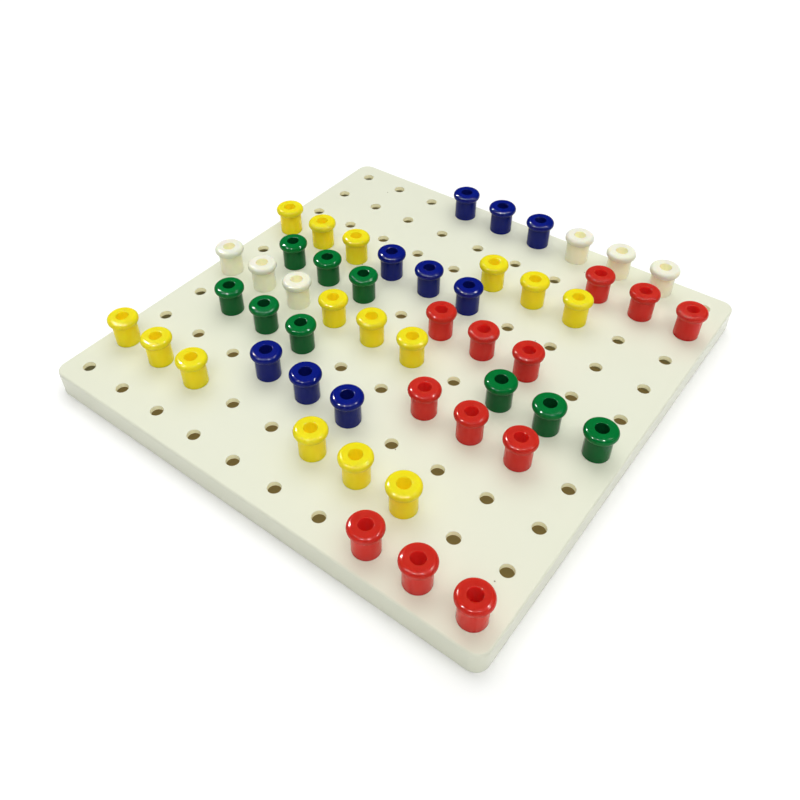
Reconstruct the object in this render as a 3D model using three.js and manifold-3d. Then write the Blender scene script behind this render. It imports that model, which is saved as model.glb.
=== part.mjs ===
// A peg board with stacking pegs: a square, ribbed board with a grid of round holes,
// and hollow, flanged pegs that stand in it in rows of three.
// Millimetres, +Z up. The origin is the middle of the board's underside, on the surface it stands on.
import * as THREE from "three";
import { mergeVertices } from "three/addons/utils/BufferGeometryUtils.js";
import Module from "manifold-3d";

// Board
const holePitch = 25.4; // centre to centre, both ways
const holesPerSide = 10;
const holeDiameter = 6.35;
const edgeMargin = 12.7; // outermost hole centre to the board's edge
const cornerRadius = 6.5;
const edgeRound = 1; // top and bottom edges
const boardHeight = 13.5;
const skinThickness = 2.5;
const skirtThickness = 2.6;
const ribThickness = 1.8;
const ribLift = 1.5; // the ribs stop this far above the surface, so the board stands on its skirt alone

// Pegs
const stemClearance = 0.175; // radial, a stem to the board's hole
const stemLength = 9;
const stemChamfer = 0.6;
const bodyDiameter = 12.7;
const pegHeight = 16.4; // shoulder to top
const headDiameter = 15.9;
const headThickness = 4.2;
const headRound = 1.8;
const socketClearance = 0.175; // radial, a stacked peg's stem to the socket
const socketSpare = 1; // how much deeper the socket is than a stem is long
const pegsInTrio = 3;

// Facets
const roundSides = 12; // holes and pegs share their angles, so a stem clears its hole
const cornerSteps = 4;

// Worked out
const stemRadius = holeDiameter / 2 - stemClearance;
const socketRadius = stemRadius + socketClearance;
const socketFloor = pegHeight - stemLength - socketSpare;
const headUnderside = pegHeight - headThickness;
const boardSide = (holesPerSide - 1) * holePitch + 2 * edgeMargin;
const skinUnderside = boardHeight - skinThickness;
const join = 0.5; // how far shapes that are joined run into each other

// Colour, row from the front edge, and the first of the trio's columns from the left edge
const trios = [
  ["red", 1, 8],
  ["yellow", 2, 1],
  ["yellow", 2, 6],
  ["blue", 3, 4],
  ["green", 4, 2],
  ["red", 4, 7],
  ["white", 5, 1],
  ["yellow", 5, 4],
  ["green", 5, 8],
  ["green", 6, 2],
  ["red", 6, 6],
  ["yellow", 7, 1],
  ["blue", 7, 4],
  ["yellow", 8, 6],
  ["red", 9, 8],
  ["blue", 10, 4],
  ["white", 10, 7],
];

const plastic = (color, roughness) => new THREE.MeshStandardMaterial({ color, roughness });
const boardPlastic = plastic(0xebecd9, 0.42);
const pegPlastics = {
  red: plastic(0xc8251f, 0.25),
  yellow: plastic(0xf2dd1e, 0.25),
  green: plastic(0x0c7a33, 0.25),
  blue: plastic(0x0c1a86, 0.25),
  white: plastic(0xf0eede, 0.25),
};

const wasm = await Module();
wasm.setup();

// Rows and columns count from 1.
const holeCentre = (index) => (index - (holesPerSide + 1) / 2) * holePitch;

// A closed solid from any closed geometry: seams are welded and the slivers at a lathe's axis dropped.
function solidOf(source) {
  const bare = source.clone();
  bare.deleteAttribute("normal");
  bare.deleteAttribute("uv");
  const welded = mergeVertices(bare, 1e-4);
  const corners = welded.index.array;
  const kept = [];
  for (let i = 0; i < corners.length; i += 3) {
    const [a, b, c] = corners.slice(i, i + 3);
    if (a !== b && b !== c && c !== a) kept.push(a, b, c);
  }
  const mesh = new wasm.Mesh({
    numProp: 3,
    vertProperties: welded.attributes.position.array,
    triVerts: new Uint32Array(kept),
  });
  mesh.merge();
  return new wasm.Manifold(mesh);
}

function geometryOf(solid) {
  const mesh = solid.getMesh();
  const geometry = new THREE.BufferGeometry();
  geometry.setAttribute("position", new THREE.BufferAttribute(mesh.vertProperties, 3));
  geometry.setIndex(new THREE.BufferAttribute(mesh.triVerts, 1));
  const faceted = geometry.toNonIndexed();
  faceted.computeVertexNormals();
  return faceted;
}

// A square plate with round corners; its two edges are bevelled by round, inside the given side.
function squarePlate(side, radius, bottom, top, round = 0) {
  const inner = side / 2 - radius;
  const outline = new THREE.Shape();
  outline.absarc(inner, inner, radius, 0, Math.PI / 2);
  outline.absarc(-inner, inner, radius, Math.PI / 2, Math.PI);
  outline.absarc(-inner, -inner, radius, Math.PI, Math.PI * 1.5);
  outline.absarc(inner, -inner, radius, Math.PI * 1.5, Math.PI * 2);
  const geometry = new THREE.ExtrudeGeometry(outline, {
    depth: top - bottom - 2 * round,
    curveSegments: cornerSteps,
    bevelEnabled: round > 0,
    bevelThickness: round,
    bevelSize: round,
    bevelOffset: -round,
    bevelSegments: 1,
  });
  return solidOf(geometry.translate(0, 0, bottom + round));
}

function box(sizeX, sizeY, bottom, top, x, y) {
  const geometry = new THREE.BoxGeometry(sizeX, sizeY, top - bottom);
  return solidOf(geometry.translate(x, y, (bottom + top) / 2));
}

// Board: a pierced skin over square cells, one cell to a hole, inside a skirt that it stands on
function makeBoard() {
  const hollowSide = boardSide - 2 * skirtThickness;
  const block = squarePlate(boardSide, cornerRadius, 0, boardHeight, edgeRound);
  const hollow = squarePlate(hollowSide, cornerRadius - skirtThickness, -join, skinUnderside);
  const ribs = [];
  for (let i = 1; i < holesPerSide; i++) {
    const middle = (holeCentre(i) + holeCentre(i + 1)) / 2;
    const length = hollowSide + 2 * join;
    ribs.push(box(ribThickness, length, ribLift, skinUnderside + join, middle, 0));
    ribs.push(box(length, ribThickness, ribLift, skinUnderside + join, 0, middle));
  }
  const drills = [];
  for (let row = 1; row <= holesPerSide; row++) {
    for (let column = 1; column <= holesPerSide; column++) {
      const drill = new THREE.CylinderGeometry(holeDiameter / 2, holeDiameter / 2, 2 * skinThickness, roundSides);
      drill.rotateX(Math.PI / 2);
      drill.translate(holeCentre(column), holeCentre(row), boardHeight - skinThickness / 2);
      drills.push(solidOf(drill));
    }
  }
  const { union, difference } = wasm.Manifold;
  return geometryOf(difference([union([difference([block, hollow]), ...ribs]), ...drills]));
}

// Peg, turned about its own axis with the shoulder at zero: stem, body, flanged head, blind socket
function makePeg() {
  const headRadius = headDiameter / 2;
  const profile = [
    [0, -stemLength],
    [stemRadius - stemChamfer, -stemLength],
    [stemRadius, -stemLength + stemChamfer],
    [stemRadius, 0],
    [bodyDiameter / 2, 0],
    [bodyDiameter / 2, headUnderside],
    [headRadius - headRound, headUnderside],
    [headRadius, headUnderside + headRound],
    [headRadius, pegHeight - headRound],
    [headRadius - headRound, pegHeight],
    [socketRadius, pegHeight],
    [socketRadius, socketFloor],
    [0, socketFloor],
  ].map(([radius, height]) => new THREE.Vector2(radius, height));
  const lathe = new THREE.LatheGeometry(profile, roundSides);
  return geometryOf(solidOf(lathe.rotateX(Math.PI / 2)));
}

const group = new THREE.Group();
group.name = "peg_board";

const board = new THREE.Mesh(makeBoard(), boardPlastic);
board.name = "board";
group.add(board);

const pegGeometry = makePeg();
for (const [colour, row, firstColumn] of trios) {
  for (let column = firstColumn; column < firstColumn + pegsInTrio; column++) {
    const peg = new THREE.Mesh(pegGeometry.clone(), pegPlastics[colour]);
    peg.name = colour + "_peg_r" + row + "_c" + column;
    peg.position.set(holeCentre(column), holeCentre(row), boardHeight);
    group.add(peg);
  }
}

export default group;
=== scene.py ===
import math

import bmesh
import bpy
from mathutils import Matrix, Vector


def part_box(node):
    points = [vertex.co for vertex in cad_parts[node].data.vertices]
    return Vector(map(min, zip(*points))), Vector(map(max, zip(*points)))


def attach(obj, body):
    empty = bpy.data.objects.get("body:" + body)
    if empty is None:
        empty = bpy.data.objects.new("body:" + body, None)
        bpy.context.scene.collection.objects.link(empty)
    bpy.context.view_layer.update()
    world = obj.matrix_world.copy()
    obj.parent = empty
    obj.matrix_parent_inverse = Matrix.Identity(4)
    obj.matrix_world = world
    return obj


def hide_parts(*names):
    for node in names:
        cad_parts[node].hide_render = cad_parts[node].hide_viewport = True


mm = 0.001
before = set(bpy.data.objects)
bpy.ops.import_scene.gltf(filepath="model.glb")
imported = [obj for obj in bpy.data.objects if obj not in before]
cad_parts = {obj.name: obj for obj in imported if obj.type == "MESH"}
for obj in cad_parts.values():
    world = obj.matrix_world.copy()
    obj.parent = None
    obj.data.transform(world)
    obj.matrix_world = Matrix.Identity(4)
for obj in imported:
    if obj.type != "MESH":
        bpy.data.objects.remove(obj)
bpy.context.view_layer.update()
boardLow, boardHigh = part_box("board")
boardTop = boardHigh.z
print("stage: frame loaded")


# Camera: held above the near corner, looking down across the board
cameraSet = {
    "place": (0.18439, -0.25885, 0.29321),
    "turn": (46.770, 0.803, 37.826),  # degrees
    "lens": 36.54,  # mm, on a sensor this wide
    "sensor": 36,
    "shift": (0.0330, -0.0461),
    "nearest": 10 * mm,
}
bpy.ops.object.camera_add(
    location=cameraSet["place"], rotation=[math.radians(angle) for angle in cameraSet["turn"]])
camera = bpy.context.object
camera.data.lens = cameraSet["lens"]
camera.data.sensor_width = cameraSet["sensor"]
camera.data.shift_x, camera.data.shift_y = cameraSet["shift"]
camera.data.clip_start = cameraSet["nearest"]
bpy.context.scene.camera = camera
print("stage: camera")


# Small helpers
def linearColour(code):  # "#rrggbb" as sRGB, to the linear values that shaders take
    parts = [int(code[i:i + 2], 16) / 255 for i in (1, 3, 5)]
    return [p / 12.92 if p <= 0.04045 else ((p + 0.055) / 1.055) ** 2.4 for p in parts] + [1]


def addNode(owner, kind, settings=None, links=None):  # sockets go by name, identifier or number
    node = owner.node_tree.nodes.new(kind)
    sockets = {**dict(enumerate(node.inputs)), **{socket.identifier: socket for socket in node.inputs}}
    for name, value in (settings or {}).items():
        if hasattr(node, str(name)):
            setattr(node, name, value)
        else:
            sockets[name].default_value = value
    for name, source in (links or {}).items():
        owner.node_tree.links.new(source, sockets[name])
    return node


def selectOnly(piece):
    bpy.ops.object.select_all(action="DESELECT")
    piece.select_set(True)
    bpy.context.view_layer.objects.active = piece


def bakePlace():  # the selected piece's place, turn and size go into its mesh
    bpy.ops.object.transform_apply(location=True, rotation=True, scale=True)


def startEdit(piece):
    selectOnly(piece)
    bpy.ops.object.mode_set(mode="EDIT")
    bpy.ops.mesh.select_all(action="DESELECT")


def endEdit():
    bpy.ops.object.mode_set(mode="OBJECT")


def pick(kind, test):  # selects what passes the test, of the mesh in edit mode
    bpy.ops.mesh.select_mode(type=kind)
    bpy.ops.mesh.select_all(action="DESELECT")
    mesh = bmesh.from_edit_mesh(bpy.context.object.data)
    for part in {"EDGE": mesh.edges, "FACE": mesh.faces}[kind]:
        part.select_set(test(part))
    bmesh.update_edit_mesh(bpy.context.object.data)


def near(a, b):
    return abs(a - b) < 0.01 * mm


def isUpright(edge):
    a, b = (vertex.co for vertex in edge.verts)
    return near(a.x, b.x) and near(a.y, b.y)


def isLevelAt(height):
    return lambda edge: all(near(vertex.co.z, height) for vertex in edge.verts)


def isRingAt(radius, height):  # one ring of edges about the middle
    return lambda edge: all(
        near(math.hypot(vertex.co.x, vertex.co.y), radius) and near(vertex.co.z, height)
        for vertex in edge.verts)


def facesUp(face):
    return face.normal.z > 0.9


def bevelEdges(test, width, steps):
    pick("EDGE", test)
    bpy.ops.mesh.bevel(offset=width, offset_type="OFFSET", segments=steps, profile=0.5, clamp_overlap=False)


def extrudeUp(rise):
    bpy.ops.mesh.extrude_region_move(TRANSFORM_OT_translate={"value": (0, 0, rise)})


def widen(share, centre):
    bpy.ops.transform.resize(value=(share, share, 1), center_override=centre)


def applyModifier(piece, kind, settings):
    selectOnly(piece)
    modifier = piece.modifiers.new(kind.lower(), kind)
    for name, value in settings.items():
        setattr(modifier, name, value)
    bpy.ops.object.modifier_apply(modifier=modifier.name)


def combine(piece, tool, operation):
    applyModifier(piece, "BOOLEAN", {"object": tool, "operation": operation, "solver": "EXACT"})
    bpy.data.objects.remove(tool)


def repeat(piece, count, step):
    applyModifier(piece, "ARRAY", {
        "count": count, "use_relative_offset": False, "use_constant_offset": True,
        "constant_offset_displace": step})


def addBlock(low, high):  # a box between two corners
    middle = [(a + b) / 2 for a, b in zip(low, high)]
    bpy.ops.mesh.primitive_cube_add(size=1, location=middle, scale=[b - a for a, b in zip(low, high)])
    bakePlace()
    return bpy.context.object


def addPost(radius, low, high, across, sides):  # an upright cylinder, as far across one way as the other
    bpy.ops.mesh.primitive_cylinder_add(
        vertices=sides, radius=radius, depth=high - low, location=(across, across, (low + high) / 2))
    bakePlace()
    return bpy.context.object


def finishShading(piece, angle):  # smooth curves, with flat faces that stay flat
    selectOnly(piece)
    bpy.ops.object.shade_smooth_by_angle(angle=math.radians(angle))
    applyModifier(piece, "WEIGHTED_NORMAL", {"weight": 100, "keep_sharp": True})


# Board: one moulding, a drilled skin over square cells of ribs inside a skirt
boardSet = {
    "corner": 6.5 * mm,
    "cornerSteps": 16,
    "topEdge": 1.0 * mm,
    "topEdgeSteps": 4,
    "bottomEdge": 0.5 * mm,
    "bottomEdgeSteps": 3,
    "skin": 2.5 * mm,
    "skirt": 2.6 * mm,
    "rib": 1.8 * mm,
    "ribLift": 1.5 * mm,  # the ribs' feet stay this far above the table
    "ribEdge": 0.3 * mm,
    "ribEdgeSteps": 2,
    "join": 0.5 * mm,  # how far the ribs run into the skin and the skirt
    "pitch": 25.4 * mm,
    "holes": 10,  # on each side
    "hole": 6.35 * mm,
    "holeSides": 48,
    "lip": 0.25 * mm,
    "lipSteps": 3,
    "smoothAngle": 35,
}


def makeBoard(sizes):
    board = addBlock(boardLow, boardHigh)
    board.name = "moulded_board"
    startEdit(board)
    bevelEdges(isUpright, sizes["corner"], sizes["cornerSteps"])
    bevelEdges(isLevelAt(boardTop), sizes["topEdge"], sizes["topEdgeSteps"])
    bevelEdges(isLevelAt(boardLow.z), sizes["bottomEdge"], sizes["bottomEdgeSteps"])
    endEdit()
    combine(board, makeHollow(sizes), "DIFFERENCE")
    for turn in (0, 90):
        combine(board, makeRibs(sizes, turn), "UNION")
    combine(board, makeDrills(sizes), "DIFFERENCE")
    finishShading(board, sizes["smoothAngle"])
    markHoleWalls(board, sizes)
    return board


def makeHollow(sizes):  # the space inside the skirt and under the skin, run out through the bottom
    inside = boardHigh.x - sizes["skirt"]
    hollow = addBlock((-inside, -inside, boardLow.z - sizes["skin"]),
                      (inside, inside, boardTop - sizes["skin"]))
    startEdit(hollow)
    bevelEdges(isUpright, sizes["corner"] - sizes["skirt"], sizes["cornerSteps"])
    endEdit()
    return hollow


def makeRibs(sizes, turn):  # all the ribs that run one way, between the rows of holes
    reach = boardHigh.x - sizes["skirt"] + sizes["join"]
    top = boardTop - sizes["skin"] + sizes["join"]
    foot = boardLow.z + sizes["ribLift"]
    first = -(sizes["holes"] / 2 - 1) * sizes["pitch"]
    ribs = addBlock((first - sizes["rib"] / 2, -reach, foot), (first + sizes["rib"] / 2, reach, top))
    startEdit(ribs)
    bevelEdges(isLevelAt(foot), sizes["ribEdge"], sizes["ribEdgeSteps"])
    endEdit()
    repeat(ribs, sizes["holes"] - 1, (sizes["pitch"], 0, 0))
    ribs.rotation_euler.z = math.radians(turn)
    bakePlace()
    return ribs


def firstHole(sizes):
    return -(sizes["holes"] - 1) / 2 * sizes["pitch"]


def makeDrills(sizes):  # the shape of every hole: straight, then flaring round the lip at the top
    radius = sizes["hole"] / 2
    first = firstHole(sizes)
    low, high = boardTop - 2 * sizes["skin"], boardTop - sizes["lip"]
    drills = addPost(radius, low, high, first, sizes["holeSides"])
    startEdit(drills)
    pick("FACE", facesUp)
    wide = radius
    risen = 0
    for step in range(1, sizes["lipSteps"] + 1):
        turn = math.radians(90 * step / sizes["lipSteps"])
        height = sizes["lip"] * math.sin(turn)
        now = radius + sizes["lip"] * (1 - math.cos(turn))
        extrudeUp(height - risen)
        widen(now / wide, (first, first, boardTop))
        wide = now
        risen = height
    extrudeUp(sizes["skin"])
    endEdit()
    for way in ((sizes["pitch"], 0, 0), (0, sizes["pitch"], 0)):
        repeat(drills, sizes["holes"], way)
    return drills


def markHoleWalls(board, sizes):  # the attribute is 1 down the holes' walls, whose colour is painted light, and 0 on all the rest
    inner = board.data.attributes.new("inner", "FLOAT", "POINT")
    pitch = sizes["pitch"]
    for vertex in board.data.vertices:
        across = [(place - firstHole(sizes) + pitch / 2) % pitch - pitch / 2 for place in vertex.co.xy]
        inHole = math.hypot(*across) < sizes["hole"] / 2 + sizes["lip"] / 2
        belowLip = vertex.co.z < boardTop - sizes["lip"] / 2
        inner.data[vertex.index].value = float(inHole and belowLip)


board = makeBoard(boardSet)
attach(board, "board")
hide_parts("board")
print("stage: board", len(board.data.polygons), "faces")


# Peg: one moulding, a stem, a body and a round-edged head with a blind socket
pegSet = {
    "sides": 64,
    "stem": 3.0 * mm,  # the radii
    "body": 6.35 * mm,
    "head": 7.95 * mm,
    "socket": 3.175 * mm,
    "stemLength": 9.0 * mm,
    "height": 16.4 * mm,
    "headThickness": 4.2 * mm,
    "socketDepth": 10.0 * mm,
    "headTopRound": 2.1 * mm,
    "headUnderRound": 1.9 * mm,
    "neckRound": 0.55 * mm,
    "lipRound": 0.35 * mm,
    "shoulderRound": 0.25 * mm,
    "tipRound": 0.6 * mm,
    "smoothAngle": 40,
    "bodyPaintedShare": 0.6,  # the body's share of the socket's painted light and shade, between the head's 0 and the socket's 1
}


def makePeg(sizes):  # stands at the origin, its shoulder at zero height
    peg = addPost(sizes["stem"], -sizes["stemLength"], 0, 0, sizes["sides"])
    under = sizes["height"] - sizes["headThickness"]
    floor = sizes["height"] - sizes["socketDepth"]
    startEdit(peg)
    pick("FACE", facesUp)
    wide = sizes["stem"]
    for radius, rise in (
        (sizes["body"], under),
        (sizes["head"], sizes["headThickness"]),
        (sizes["socket"], -sizes["socketDepth"]),
    ):
        extrudeUp(0)
        widen(radius / wide, (0, 0, 0))
        extrudeUp(rise)
        wide = radius
    for radius, height, width, steps in (
        (sizes["head"], sizes["height"], sizes["headTopRound"], 9),
        (sizes["head"], under, sizes["headUnderRound"], 7),
        (sizes["body"], under, sizes["neckRound"], 4),
        (sizes["socket"], sizes["height"], sizes["lipRound"], 4),
        (sizes["socket"], floor, sizes["lipRound"], 2),
        (sizes["body"], 0, sizes["shoulderRound"], 3),
        (sizes["stem"], -sizes["stemLength"], sizes["tipRound"], 3),
    ):
        bevelEdges(isRingAt(radius, height), width, steps)
    endEdit()
    finishShading(peg, sizes["smoothAngle"])

    # the attribute marks where light and shade are painted: the socket, part of the body, not the head
    inner = peg.data.attributes.new("inner", "FLOAT", "POINT")
    for vertex in peg.data.vertices:
        height, radius = vertex.co.z, math.hypot(vertex.co.x, vertex.co.y)
        inSocket = radius < sizes["socket"] + sizes["lipRound"] / 2 and height > floor - mm
        if inSocket:
            share = float(height < sizes["height"] - sizes["lipRound"] / 2)
        else:
            share = sizes["bodyPaintedShare"] if height < under else 0
        inner.data[vertex.index].value = share
    return peg


pattern = makePeg(pegSet)
print("stage: peg pattern", len(pattern.data.polygons), "faces")


def newMaterial(name):
    material = bpy.data.materials.new(name)
    material.use_nodes = True
    material.node_tree.nodes.clear()
    return material


def addClouds(material, look, place):  # broad soft patches of a slightly deeper colour
    clouds = addNode(material, "ShaderNodeTexNoise", {
        "Scale": 1 / look["cloud"], "Detail": look["cloudDetail"], "Roughness": look["cloudBreak"]},
        {"Vector": place})
    colour = addNode(material, "ShaderNodeMix", {
        "data_type": "RGBA", "A_Color": linearColour(look["base"]), "B_Color": linearColour(look["shade"])},
        {"Factor_Float": clouds.outputs["Fac"]})
    rough = addNode(material, "ShaderNodeMapRange", {
        "To Min": look["rough"][0], "To Max": look["rough"][1]}, {"Value": clouds.outputs["Fac"]})
    return colour, rough


def addPaintedInsideShading(material, look, outerColour):  # painted light and shade inside holes and sockets and partly on peg bodies, mixed in by the attribute
    inner = addNode(material, "ShaderNodeAttribute", {"attribute_name": "inner"})
    colour = addNode(material, "ShaderNodeMix", {
        "data_type": "RGBA", "B_Color": linearColour(look["inner"])},
        {"Factor_Float": inner.outputs["Fac"], "A_Color": outerColour.outputs[2]})
    return inner, colour


def addPeel(material, look, place):  # the faint ripple of a moulded skin
    peel = addNode(material, "ShaderNodeTexNoise", {
        "Scale": 1 / look["peel"], "Detail": look["peelDetail"]}, {"Vector": place})
    return addNode(material, "ShaderNodeBump", {
        "Strength": look["peelStrength"], "Distance": look["peelDepth"]}, {"Height": peel.outputs["Fac"]})


boardLook = {
    "base": "#e5e7d4",
    "shade": "#e1e3ce",
    # painted light: the holes' walls are lighter and warmer than the top, standing in for light that soaks
    # through the skin and bounces
    "inner": "#fffbd6",
    "speck": "#8f866e",
    "paintedGlow": 0.13,  # a painted glow on the holes' walls, standing in for daylight that soaks through the skin
    "rough": (0.14, 0.20),
    "ior": 1.5,
    "gloss": 0.3,
    "cloud": 45 * mm,
    "cloudDetail": 3,
    "cloudBreak": 0.55,
    "peel": 1.1 * mm,
    "peelDetail": 2,
    "peelStrength": 0.05,
    "peelDepth": 0.05 * mm,
    "speckPitch": 34 * mm,
    "speckSize": 0.35 * mm,
    "speckShare": 0.3,  # of the cells that have one
}


# High-impact polystyrene, injection moulded: opaque warm ivory with a satin gloss, faint flow clouds,
# a fine orange peel and a few dark specks from the press
def boardMaterial(look):
    material = newMaterial("ivory_polystyrene_moulded")
    place = addNode(material, "ShaderNodeTexCoord").outputs["Object"]
    plastic, rough = addClouds(material, look, place)
    cells = addNode(material, "ShaderNodeTexVoronoi", {
        "voronoi_dimensions": "2D", "Scale": 1 / look["speckPitch"], "Randomness": 1}, {"Vector": place})
    small = addNode(material, "ShaderNodeMath", {
        "operation": "LESS_THAN", 1: look["speckSize"] / look["speckPitch"]},
        {0: cells.outputs["Distance"]})
    chosen = addNode(material, "ShaderNodeMath", {
        "operation": "LESS_THAN", 1: look["speckShare"]}, {0: cells.outputs["Color"]})
    speck = addNode(material, "ShaderNodeMath", {"operation": "MULTIPLY"},
                    {0: small.outputs["Value"], 1: chosen.outputs["Value"]})
    specked = addNode(material, "ShaderNodeMix", {
        "data_type": "RGBA", "B_Color": linearColour(look["speck"])},
        {"Factor_Float": speck.outputs["Value"], "A_Color": plastic.outputs[2]})
    # the holes' walls get painted light
    inner, colour = addPaintedInsideShading(material, look, specked)
    bump = addPeel(material, look, place)
    # painted glow on the holes' walls
    paintedGlow = addNode(material, "ShaderNodeMath", {"operation": "MULTIPLY", 1: look["paintedGlow"]},
                   {0: inner.outputs["Fac"]})
    shader = addNode(material, "ShaderNodeBsdfPrincipled", {
        "IOR": look["ior"], "Specular IOR Level": look["gloss"],
        "Emission Color": linearColour(look["inner"])}, {
        "Base Color": colour.outputs[2], "Roughness": rough.outputs["Result"],
        "Normal": bump.outputs["Normal"], "Emission Strength": paintedGlow.outputs["Value"]})
    addNode(material, "ShaderNodeOutputMaterial", {}, {"Surface": shader.outputs["BSDF"]})
    return material


pegLook = {  # what the colours share, where they don't give their own
    "rough": (0.08, 0.12),
    "ior": 1.53,
    "gloss": 0.15,
    "cloud": 6 * mm,
    "cloudDetail": 2,
    "cloudBreak": 0.5,
    "peel": 1.6 * mm,
    "peelDetail": 1,
    "peelStrength": 0.8,
    "peelDepth": 0.06 * mm,
    "spread": (1, 0.8, 0.4),  # red light goes further in than blue
    "paintedGlow": 0,  # a painted glow on the body and the socket, standing in for daylight that soaks through
}
pegColours = {  # the reds, yellows and whites let light in further than the greens and blues
    # each inside colour, for the socket and in part the body, is painted light for red, yellow and white
    # and painted shade for green and blue
    "red": {"base": "#c93226", "shade": "#c02c22", "inner": "#e63630", "depth": 1, "reach": 4 * mm},
    "yellow": {"base": "#ebe026", "shade": "#e5d61e", "inner": "#ffe822", "depth": 0.9, "reach": 3 * mm,
               "paintedGlow": 0.035},
    "green": {"base": "#067634", "shade": "#056c2f", "inner": "#06562a", "depth": 0.1, "reach": 0.8 * mm},
    "blue": {"base": "#0c1c80", "shade": "#0a1874", "inner": "#0e1a74", "depth": 0.1, "reach": 0.8 * mm},
    "white": {"base": "#ebecdb", "shade": "#e7e8d5", "inner": "#fffbd8", "depth": 0.8, "reach": 1.6 * mm,
              "paintedGlow": 0.06},
}


# ABS, injection moulded: saturated and glossy, with a trace of orange peel that breaks up the highlights
def pegMaterial(colourName, look):
    material = newMaterial(colourName + "_abs_moulded")
    place = addNode(material, "ShaderNodeTexCoord").outputs["Object"]
    plastic, rough = addClouds(material, look, place)
    # painted light or shade in the socket and on the body
    inner, colour = addPaintedInsideShading(material, look, plastic)
    bump = addPeel(material, look, place)
    # painted glow on the body and the socket
    paintedGlow = addNode(material, "ShaderNodeMapRange", {
        "From Max": pegSet["bodyPaintedShare"], "To Max": look["paintedGlow"]}, {"Value": inner.outputs["Fac"]})
    shader = addNode(material, "ShaderNodeBsdfPrincipled", {
        "IOR": look["ior"], "Specular IOR Level": look["gloss"], "Subsurface Weight": look["depth"],
        "Subsurface Scale": look["reach"], "Subsurface Radius": look["spread"],
        "Emission Color": linearColour(look["inner"])}, {
        "Base Color": colour.outputs[2], "Roughness": rough.outputs["Result"],
        "Normal": bump.outputs["Normal"], "Emission Strength": paintedGlow.outputs["Result"]})
    addNode(material, "ShaderNodeOutputMaterial", {}, {"Surface": shader.outputs["BSDF"]})
    return material


board.data.materials.clear()
board.data.materials.append(boardMaterial(boardLook))
pegMaterials = {name: pegMaterial(name, {**pegLook, **colour}) for name, colour in pegColours.items()}
print("stage: materials")


# Every peg is a copy of the pattern, moved to its hole
pegGroup = bpy.data.collections.new("pegs")
for node in sorted(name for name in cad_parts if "_peg_" in name):
    low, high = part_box(node)
    peg = pattern.copy()
    peg.data = pattern.data.copy()
    peg.name = "moulded_" + node
    bpy.context.collection.objects.link(peg)
    selectOnly(peg)
    peg.location = ((low.x + high.x) / 2, (low.y + high.y) / 2, boardTop)
    bakePlace()
    peg.data.materials.clear()
    peg.data.materials.append(pegMaterials[node.split("_")[0]])
    pegGroup.objects.link(peg)
    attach(peg, node)
    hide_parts(node)
bpy.data.objects.remove(pattern)
print("stage: pegs")


# Floor: a pale table, with a brown card under the board, where only the holes show it, and a painted glow
# on the card
floorSet = {
    "size": 12,
    "colour": "#fdfdfc",
    "rough": 0.9,
    "drop": 0.1 * mm,  # between the board's rim, the card and the floor
    "card": 240 * mm,
    "cardColour": "#857345",
    "cardPaintedGlow": 0.5,  # a painted glow, standing in for the daylight that the real board's thin skin lets through to it
}


def addFloor(name, size, height, settings):
    bpy.ops.mesh.primitive_plane_add(size=size, location=(0, 0, height))
    floor = bpy.context.object
    floor.name = name
    material = newMaterial(name + "_matt")
    shader = addNode(material, "ShaderNodeBsdfPrincipled", {"Roughness": floorSet["rough"], **settings})
    addNode(material, "ShaderNodeOutputMaterial", {}, {"Surface": shader.outputs["BSDF"]})
    floor.data.materials.append(material)


addFloor("floor", floorSet["size"], boardLow.z - 2 * floorSet["drop"], {
    "Base Color": linearColour(floorSet["colour"])})
addFloor("card", floorSet["card"], boardLow.z - floorSet["drop"], {
    "Base Color": linearColour(floorSet["cardColour"]),
    "Emission Color": linearColour(floorSet["cardColour"]),
    "Emission Strength": floorSet["cardPaintedGlow"]})
print("stage: floor")


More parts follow.
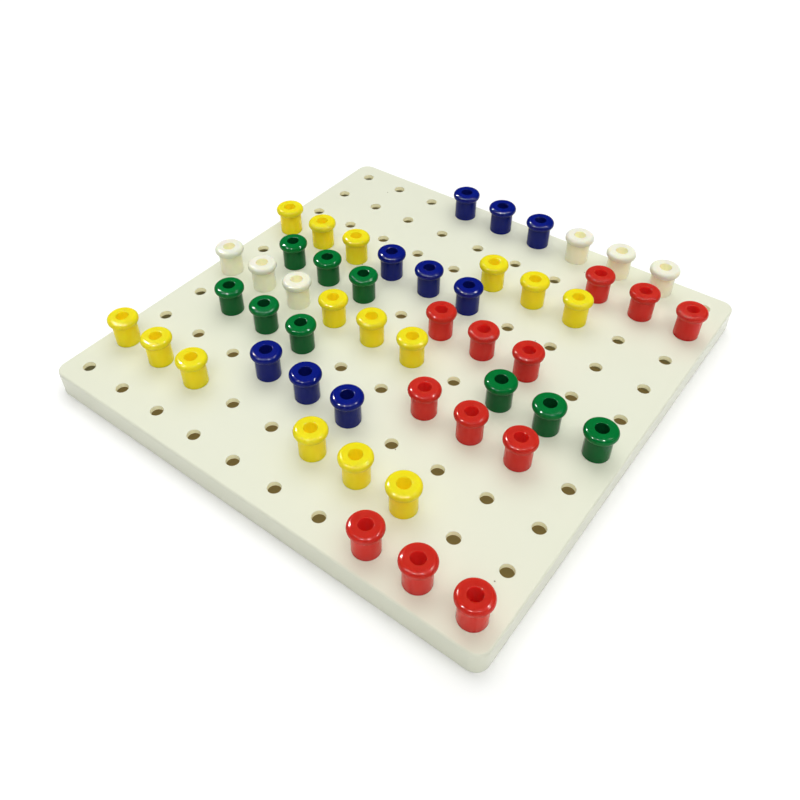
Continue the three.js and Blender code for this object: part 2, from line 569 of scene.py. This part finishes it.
# Light: wide soft fills light every surface and leave no image in the gloss, and small lamps
# only leave their bright images on the pegs
lightDistance = 2  # metres
fills = [  # name, towards it as azimuth and elevation, its breadth, all in degrees, and its strength
    ("fillAbove", 60, 86, 60, 0.28),
    ("fillNear", 35, 62, 40, 1.00),
    ("fillRight", 105, 60, 40, 0.42),
    ("fillFarLeft", 258, 52, 40, 0.36),
    ("fillFar", 205, 60, 50, 1.10),
]
lamps = [  # name, azimuth, elevation, length and width in metres, watts
    ("lampNear", 14, 54, 0.14, 0.09, 58),
    ("lampLeft", -30, 52, 0.14, 0.10, 62),
    ("lampFarLeft", 256, 46, 0.24, 0.14, 75),
    ("lampRight", 104, 36, 0.16, 0.10, 34),
    ("lampMiddle", 60, 58, 0.12, 0.08, 36),
    ("lampHigh", 135, 62, 0.60, 0.05, 26),
]
worldLight = {"seen": 1.0, "given": 0.22}  # white behind everything, but a dim light


def addLight(kind, name, azimuth, elevation):  # azimuth 0 is in front, towards -Y, and 90 towards +X
    around, up = math.radians(azimuth), math.radians(elevation)
    towards = Vector((math.sin(around) * math.cos(up), -math.cos(around) * math.cos(up), math.sin(up)))
    bpy.ops.object.light_add(type=kind, location=towards * lightDistance)
    light = bpy.context.object
    light.name = name
    light.rotation_euler = towards.to_track_quat("Z", "Y").to_euler()
    return light


for name, azimuth, elevation, breadth, strength in fills:
    light = addLight("SUN", name, azimuth, elevation)
    light.data.angle = math.radians(breadth)
    light.data.energy = strength
    light.visible_glossy = False
for name, azimuth, elevation, length, width, watts in lamps:
    light = addLight("AREA", name, azimuth, elevation)
    light.data.shape = "RECTANGLE"
    light.data.size = length
    light.data.size_y = width
    light.data.energy = watts
    light.visible_diffuse = False
    light.light_linking.receiver_collection = pegGroup

world = bpy.data.worlds.new("even_room_light")
bpy.context.scene.world = world
world.use_nodes = True
world.cycles_visibility.glossy = False
background = world.node_tree.nodes["Background"]
background.inputs["Color"].default_value = (1, 1, 1, 1)
seen = addNode(world, "ShaderNodeLightPath").outputs["Is Camera Ray"]
brightness = addNode(world, "ShaderNodeMapRange", {
    "To Min": worldLight["given"], "To Max": worldLight["seen"]}, {"Value": seen})
world.node_tree.links.new(brightness.outputs["Result"], background.inputs["Strength"])
bpy.context.scene.view_settings.view_transform = "Standard"
print("stage: light")
